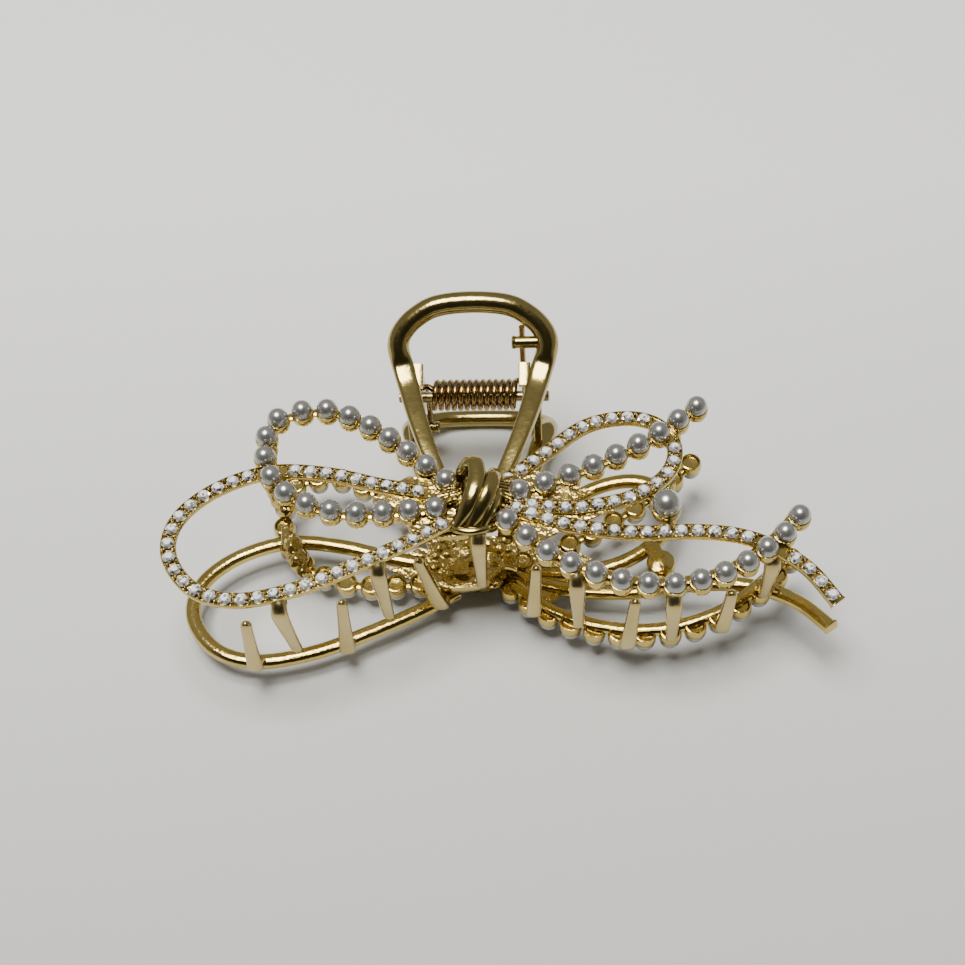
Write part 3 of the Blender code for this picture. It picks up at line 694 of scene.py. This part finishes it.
def makeGathers(body, side, jaw):
    # thin pleats that run from the rows into the knot, on small webs of cast metal
    shape = Shape()
    for (toX, toY), starts in gathers["fans"]:
        for startX, startY in starts:
            end = (toX, toY + (startY - toY) * gathers["narrowing"])
            line = [(startX, startY, crown(startX, startY) + gathers["startUp"]),
                    (*end, gathers["endHeight"])]
            shape.sweep(evenPoints(line, 0.6), roundSection(*gathers["pleat"]))
    for outline in gathers["webs"]:
        middle = np.mean(outline, axis=0)
        top = crown(*middle) - gathers["webDrop"]
        shape.plate(outline, top - gathers["webThickness"], top, 0.1)
    makePiece(f"{jaw}_gathers", shape, side, body, golds["ribGold"], [], 35)


links = {
    "bridges": [  # x, y and how far below the crown
        [(-27.9, -17.6, 1.7), (-27.7, -20.2, 2.1), (-26.8, -22.0, 1.8)],
        [(27.6, -10.6, 1.5), (28.2, -12.4, 1.9), (28.6, -15.2, 1.6)],
        [(40.4, -29.6, 1.5), (41.4, -30.0, 1.9), (43.0, -30.6, 1.6)],
    ],
    "section": (1.5, 1.3, 2.6, 12),
    "lumps": [  # x, y, radius and depth
        (-28.1, -14.9, 1.15, 0.8), (-27.2, -19.6, 1.3, 0.9), (-26.6, -21.0, 1.7, 1.1),
        (-25.7, -22.9, 1.7, 1.0), (-25.0, -24.4, 1.1, 0.8), (28.2, -12.2, 1.6, 0.9), (41.3, -30.0, 1.5, 0.9),
    ],
    "lumpDrop": 1.7,
}


def makeLinks(body, side, jaw):
    # cast bridges where one row passes over or beside another
    shape = Shape()
    for bridge in links["bridges"]:
        line = np.array([(x, y, crown(x, y) - drop) for x, y, drop in bridge])
        shape.sweep(evenPoints(line, rail["step"]), roundSection(*links["section"]))
    rng = random.Random(5)
    for x, y, radius, deep in links["lumps"]:
        start = len(shape.points)
        at = np.array([x, y, crown(x, y) - links["lumpDrop"]])
        shape.ball(at, radius, 12, (1.0, 1.2, deep))
        for i in range(start, len(shape.points)):  # no two sides of a cast lump are alike
            shape.points[i] = tuple(at + (np.array(shape.points[i]) - at) * rng.uniform(0.86, 1.12))
    makePiece(f"{jaw}_links", shape, side, body, golds["ribGold"], [], 45)


tooth = {  # x, lean, how far the root is below the crown, how far the tip passes the middle
    "places": {
        "upper": [(-24.8, 0.95, 0.9, 3.7), (-11.8, 0.35, 0.9, 4.3), (1.55, -0.05, 0.9, 4.1),
                  (14.75, 0.25, 0.5, 4.7), (27.6, 0.1, 0.6, 5.2), (41.2, -0.5, 0.9, 4.8)],
        "lower": [(-30.1, 0.6, 2.0, 6.2), (-17.6, 0.7, 0.9, 5.6), (-4.4, -2.6, 1.6, 4.8),
                  (8.7, 0.6, 1.9, 5.7), (21.7, 0.8, 0.9, 6.3), (34.7, 0.8, 0.4, 4.8)],
    },
    "rootWidth": 2.55, "tipWidth": 1.55, "neck": 0.5, "thickness": 1.15, "shoulder": 0.7, "curl": 0.5,
    "taper": 1.5, "neckEnds": 6, "shoulderEnds": 5, "roundEnds": 4,  # one part in so many of the length
    "closeFrom": 0.93, "squareness": 3.0, "knotClear": 6.5, "railClear": 0.3, "middle": 0.85,
    "footDrop": 0.9, "foot": (2.2, 1.2, 3.0, 12),
}


def frontOf(x):
    # the frontmost row at this place along the bow
    nearest = bow["knotAt"][1] - tooth["knotClear"]
    for row in ("leftStones", "frontPearls"):
        line = rowLine(row)
        for a, b in zip(line[:-1], line[1:]):
            if min(a[0], b[0]) <= x <= max(a[0], b[0]) and a[0] != b[0]:
                crossing = a[1] + (x - a[0]) / (b[0] - a[0]) * (b[1] - a[1])
                nearest = min(nearest, crossing - rail["width"] / 2)
    return nearest - tooth["railClear"] - tooth["middle"]


def toothSection(t):
    # the tooth's cut at t, from 0 at the root to 1 at the tip
    width = tooth["tipWidth"] + (tooth["rootWidth"] - tooth["tipWidth"]) * (1 - t) ** tooth["taper"]
    width -= tooth["neck"] * max(0.0, 1 - t * tooth["neckEnds"])
    thick = tooth["thickness"] + tooth["shoulder"] * max(0.0, 1 - t * tooth["shoulderEnds"])
    past = max(0.0, (t - tooth["closeFrom"]) / (1 - tooth["closeFrom"]))
    close = math.sqrt(max(0.02, 1 - past**2))  # the tip is rounded over
    power = tooth["squareness"] - 0.9 * max(0.0, 1 - t * tooth["roundEnds"])
    return roundSection(width * close, thick * (0.3 + 0.7 * close), power, 20)


def makeTeeth(body, side, jaw):
    for number, (x, lean, drop, overreach) in enumerate(tooth["places"][jaw], 1):
        y = frontOf(x)
        top = crown(x, y) - drop
        length = top + overreach
        shape = Shape()
        path = [
            (x, y + 1.6, top + 0.15), (x, y + 0.65, top - 0.25), (x + lean * 0.1, y, top - 1.5),
            (x + lean * 0.5, y + tooth["curl"] * 0.3, top - length * 0.5),
            (x + lean, y + tooth["curl"], top - length),
        ]
        line = smoothLine(path, 0.25)
        shape.sweep(line, [toothSection(t) for t in np.linspace(0, 1, len(line))], (0, -1, 0.25))
        root = crown(x, y) - tooth["footDrop"]
        foot = [(x, y + 1.2, min(top, root) - 0.1), (x, y + 2.0, root + 0.1)]
        shape.sweep(foot, roundSection(*tooth["foot"]))
        makePiece(f"{jaw}_tooth{number}", shape, side, body, golds["toothGold"],
                  [f"{jaw}_tooth_{number}"], 40)


handle = {
    "barRadius": {"upper": 1.58, "lower": 1.3}, "shift": 0.3,
    "half": [  # from the middle of the bar round and along one arm to its foot
        (0.0, 6.3, 14.5), (5.1, 5.95, 14.15), (8.2, 4.75, 13.1), (10.1, 3.2, 11.85), (10.75, 1.7, 10.7),
        (10.45, 0.2, 9.45), (9.9, -1.5, 8.8), (9.2, -4.0, 8.15), (7.9, -9.0, 8.1), (6.3, -14.1, 7.9),
        (4.9, -17.8, 7.6), (4.2, -19.8, 7.5),
    ],
    "armWidth": 3.15, "armThickness": 1.9, "footWidth": 2.3, "squareness": 2.2,
    "armFrom": 0.9, "armOver": 2.2, "footFrom": -2.0, "footOver": 15.0,  # along y
    "settleFrom": 9.0, "settleOver": 5.0,  # in height, where a thinner bar is moved out to
    "earFace": {"upper": 7.3, "lower": 8.8}, "earThickness": 1.2, "earRadius": 2.3, "earBevel": 0.16,
    "earEdge": [(2.0, 3.6), (1.2, 6.6), (-0.6, 8.5), (-4.0, 8.1), (-3.4, 5.0)], "tab": (1.7, 1.1, 7.0, 16),
    "tabEnds": [(-0.7, 8.95), (-4.0, 8.1)], "tabOut": 0.4,
    "pegRadius": 0.93, "pegFrom": 5.85, "pegTo": 10.3, "pegAt": (1.85, 10.7),
}


def addPeg(shape, side):
    # the stub that a spring leg hooks behind
    pegR, pegLong = handle["pegRadius"], handle["pegTo"] - handle["pegFrom"]
    shape.lathe((side * handle["pegFrom"], *handle["pegAt"]), [
        (pegR * 0.6, 0.0), (pegR * 0.95, 0.1), (pegR * 1.05, 0.25), (pegR * 1.03, 0.5), (pegR * 0.96, 0.6),
        (pegR * 0.96, pegLong),
    ], 24, (side, 0, 0))


def addEars(shape, jaw):
    # the two cheeks that stand up to the pin, each joined to its arm by a tab
    face, thickness = handle["earFace"][jaw], handle["earThickness"]
    radius = handle["earRadius"]
    for hand in (-1, 1):
        arc = []
        for k in range(13):
            a = math.pi + math.pi * k / 12
            arc.append((radius * math.cos(a), radius * math.sin(a)))
        outline = arc + handle["earEdge"]
        edge = handle["earBevel"]
        levels = [(edge, face), (0.0, face + edge), (0.0, face + thickness - edge), (edge, face + thickness)]
        rings = []
        for inset, x in levels:
            rings.append([(hand * x, y * (1 - inset / 3), z * (1 - inset / 9)) for y, z in outline])
        shape.rings(rings)
        tab = [(hand * (face + handle["tabOut"]), y, z) for y, z in handle["tabEnds"]]
        shape.sweep(tab, roundSection(*handle["tab"]))


tray = {
    "back": -19.4, "floor": (7.7, 8.5), "wall": 0.7, "rim": {"upper": (7.2, 8.5), "lower": (5.8, 7.4)},
    "front": [(-7.4, -25.6), (-5.0, -28.2), (-3.3, -29.2), (0.6, -28.9), (2.3, -28.2), (4.4, -26.0),
              (6.4, -26.4)],
    "inward": (0.3, 1.0), "backHalf": 6.2, "boss": (-1.7, -25.4), "bossSection": (2.1, 1.4, 6.0, 12),
    "lumps": 46,
    "lumpsAcross": (-5.8, 5.6), "lumpsAlong": (-27.4, -20.0), "lumpSize": (0.5, 1.2),
}


def addTray(shape, jaw):
    # the rough tray under the knot: a floor, a rim that turns in, a boss and the casting's lumps
    low, high = tray["floor"]
    front = smoothLine(tray["front"], 0.5)
    rimIn, wallIn = tray["inward"]
    half, back = tray["backHalf"], tray["back"]
    outline = [(x, y + wallIn) for x, y in front] + [(half, back), (-half, back)]
    shape.plate(outline, low, high, 0.2)
    inner, outer = tray["rim"][jaw]
    shape.sweep([(x, y + rimIn, (inner + outer) / 2) for x, y in front],
                roundSection(tray["wall"], outer - inner, 3.0, 12))
    shape.sweep([(x, y + wallIn, (outer + high) / 2 - 0.3) for x, y in front],
                roundSection(tray["wall"], high - outer + 1.2, 3.0, 12))
    x, y = tray["boss"]
    shape.sweep([(x, y - 1.0, low - 0.3), (x, y + 1.0, low - 0.3)], roundSection(*tray["bossSection"]))
    rng = random.Random(21)
    for _ in range(tray["lumps"]):
        x, y = rng.uniform(*tray["lumpsAcross"]), rng.uniform(*tray["lumpsAlong"])
        size = rng.uniform(*tray["lumpSize"])
        shape.ball((x, y, low), size, 10, (rng.uniform(0.7, 1.3), 1.0, rng.uniform(0.35, 0.8)))


def makeHandle(body, side, jaw):
    half = handle["half"]
    line = smoothLine([(-x, y, z) for x, y, z in half[:0:-1]] + half, 0.4)
    line[:, 0] += handle["shift"]
    bar = handle["barRadius"][jaw]
    settle = np.clip((line[:, 2] - handle["settleFrom"]) / handle["settleOver"], 0, 1)
    line[:, 2] += (handle["barRadius"]["upper"] - bar) * settle
    sections = []
    for x, y, z in line:
        arm = share((handle["armFrom"] - y) / handle["armOver"])  # 0 on the round bar, 1 on the flat arm
        arm = arm * arm * (3 - 2 * arm)
        foothold = share((handle["footFrom"] - y) / handle["footOver"])
        armWidth = handle["armWidth"] + (handle["footWidth"] - handle["armWidth"]) * foothold
        width = 2 * bar * (1 - arm) + armWidth * arm
        thick = 2 * bar * (1 - arm) + handle["armThickness"] * arm
        sections.append(roundSection(width, thick, 2.0 + handle["squareness"] * arm, 28))
    shape = Shape()
    shape.sweep(line, sections)
    addPeg(shape, side)
    addEars(shape, jaw)
    makePiece(f"{jaw}_fingerLoop", shape, side, body, golds["handleGoldPaintedShade"],
              [f"{jaw}_handle_frame"], 32)
    floor = Shape()
    addTray(floor, jaw)
    makePiece(f"{jaw}_tray", floor, side, body, golds["ribGold"], [], 32)


axle = {"radius": 0.8, "halfLength": 11.2}
spring = {
    "wire": 0.455, "radius": 1.92, "turns": 13, "halfLength": 6.3, "lift": 0.35, "stepsPerTurn": 24,
    "legOut": 1.05, "barAt": (6.048, 14.752), "legShare": (0.66, 0.78),  # a leg ends short of the loop's bar
}


def makePin():
    shape = Shape()
    r, half = axle["radius"], axle["halfLength"]
    end = [(r * 0.7, 0.0), (r * 0.98, 0.14), (r, 0.4)]  # both ends of the pin are rounded over
    profile = end + [(radius, 2 * half - height) for radius, height in end[::-1]]
    shape.lathe((-half, 0, 0), profile, 24, (1, 0, 0))
    makePiece("hingePin", shape, 1, "lower_jaw", golds["pinSteel"], ["hinge_pin"], 40)


def makeSpring():
    radius, half, perTurn = spring["radius"], spring["halfLength"], spring["stepsPerTurn"]
    legX = half + spring["legOut"]
    legY, legZ = (at * part for at, part in zip(spring["barAt"], spring["legShare"]))
    steps = perTurn * spring["turns"]
    coil = []
    for i in range(steps + 1):
        a = 2 * math.pi * i / perTurn
        out = half * (2 * i / steps - 1)
        coil.append((out, spring["lift"] + radius * math.cos(a), -radius * math.sin(a)))
    bend, start = (-legX, (legY + radius) / 2 + 0.5, -legZ / 2), (-legX, radius + 0.8, -1.2)
    leg = [(-legX, legY, -legZ), bend, start]
    farLeg = [(-x, y, -z) for x, y, z in leg[::-1]]
    path = smoothLine(leg + coil[2:-2:2] + farLeg, 0.32)
    shape = Shape()
    axisWay = np.tile([1.0, 0.0, 0.0], (len(path), 1))
    shape.sweep(path, roundSection(2 * spring["wire"], 2 * spring["wire"], 2.0, 10), axisWay)
    made = makePiece("torsionSpring", shape, 1, None, golds["springWireToneAndShade"], ["torsion_spring"], 60)
    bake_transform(made)


pearlLines = [rowLine(row + "Pearls") for row in ("left", "right", "front")]
for jaw, side in (("lower", -1), ("upper", 1)):
    body = jaw + "_jaw"
    rng = random.Random(7)
    for row in ("left", "right", "tail"):
        stoneRow(row, pearlLines, body, side, jaw, rng)
    for row in ("left", "right", "front"):
        pearlRow(row, body, side, jaw)
    bigPearl(body, side, jaw)
    makeKnot(body, side, jaw)
    makeGathers(body, side, jaw)
    makeLinks(body, side, jaw)
    makeTeeth(body, side, jaw)
    makeHandle(body, side, jaw)
    print(jaw, "jaw dressed")
makePin()
makeSpring()
print("pin and spring made")


studio = {
    "floorSize": 4.0, "floorGap": 0.00002, "paperPaintedShadeFront": (0.50, 0.50, 0.487),
    "paperPaintedLightBack": (0.86, 0.866, 0.835), "paintedShadeSpan": (-80.0, 90.0),  # in millimetres, where the painted shade at the front turns into the painted light at the back
    "lampAt": (-0.12, 0.0, 0.85), "lampSize": 0.46, "lampPower": 12.0, "lampColour": (1.0, 0.985, 0.95),
    "roomColour": (1.0, 0.985, 0.955, 1.0), "darkWay": (0.0, -0.72, 0.69), "darkEdge": (0.40, 0.84),
    "darkSide": 0.04, "lightSide": 0.34,
}


def makeFloor():
    mesh = bpy.data.meshes.new("paper")
    half = studio["floorSize"] / 2
    corners = [(-half, -half, 0), (half, -half, 0), (half, half, 0), (-half, half, 0)]
    mesh.from_pydata(corners, [], [(0, 1, 2, 3)])
    paper = Finish("palePaper", {"Roughness": 0.75, "Specular IOR Level": 0.2})
    grain = paper.noise(0.6, 4.0)
    # the paper is painted darker towards the front and lighter towards the back: a painted fall-off of light
    # over an evenly coloured sheet
    depth = paper.node("ShaderNodeSeparateXYZ", {}, {0: paper.where()}, output=1)
    front, back = studio["paintedShadeSpan"]
    paintedShadeFade = paper.node("ShaderNodeMapRange", {}, {0: depth, 1: front, 2: back, 3: 0.0, 4: 1.0})
    paper.feed("Base Color", paper.mixColours(paintedShadeFade + grain * 0.04, studio["paperPaintedShadeFront"], studio["paperPaintedLightBack"]))
    mesh.materials.append(paper.material)
    floor = bpy.data.objects.new("paper", mesh)
    bpy.context.scene.collection.objects.link(floor)
    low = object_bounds()[0].z
    floor.location.z = min(low, cadBox[0].z) - studio["floorGap"]


def makeLight():
    lamp = bpy.data.lights.new("ceilingLamp", "AREA")
    lamp.shape = "DISK"
    lamp.size = studio["lampSize"]
    lamp.energy = studio["lampPower"]
    lamp.color = studio["lampColour"]
    holder = bpy.data.objects.new("ceilingLamp", lamp)
    holder.location = studio["lampAt"]
    bpy.context.scene.collection.objects.link(holder)


def makeRoom():
    # even pale light from all round, fading to dark where the onlooker stands
    world = bpy.data.worlds.new("room")
    bpy.context.scene.world = world
    world.use_nodes = True
    room = Board(world.node_tree)
    way = room.node("ShaderNodeTexCoord")
    towards = room.node(
        "ShaderNodeVectorMath", {"operation": "DOT_PRODUCT"}, {0: way, 1: studio["darkWay"]}, output=1)
    begin, full = studio["darkEdge"]
    strength = room.node(
        "ShaderNodeMapRange", {"interpolation_type": "SMOOTHSTEP"},
        {0: towards, 1: begin, 2: full, 3: studio["lightSide"], 4: studio["darkSide"]})
    background = room.tree.nodes["Background"]
    background.inputs["Color"].default_value = studio["roomColour"]
    room.tree.links.new(strength.socket, background.inputs["Strength"])


view = {  # where the eye is, in the jaw's frame: turns in radians, offsets in millimetres
    "turn": (-0.5690082062, -0.0463739416, 0.0111933917),
    "aside": (-1.24715, 12.76403), "distance": 251.6504, "lens": 63.17,
}


def makeCamera():
    a, b, c = view["turn"]
    turn = (Matrix.Rotation(c, 3, "Z") @ Matrix.Rotation(b, 3, "Y") @ Matrix.Rotation(a, 3, "X"))
    eye = turn.transposed() @ -Vector((*view["aside"], -view["distance"]))
    camera = bpy.data.cameras.new("camera")
    camera.lens = view["lens"]
    camera.sensor_width = 36
    holder = bpy.data.objects.new("camera", camera)
    bpy.context.scene.collection.objects.link(holder)
    level = Matrix.Rotation(tilt, 3, "X") @ turn.transposed()
    holder.matrix_world = Matrix.Translation(jawToWorld @ eye) @ level.to_4x4()
    bpy.context.scene.camera = holder


makeFloor()
makeLight()
makeRoom()
makeCamera()
print("studio lit")
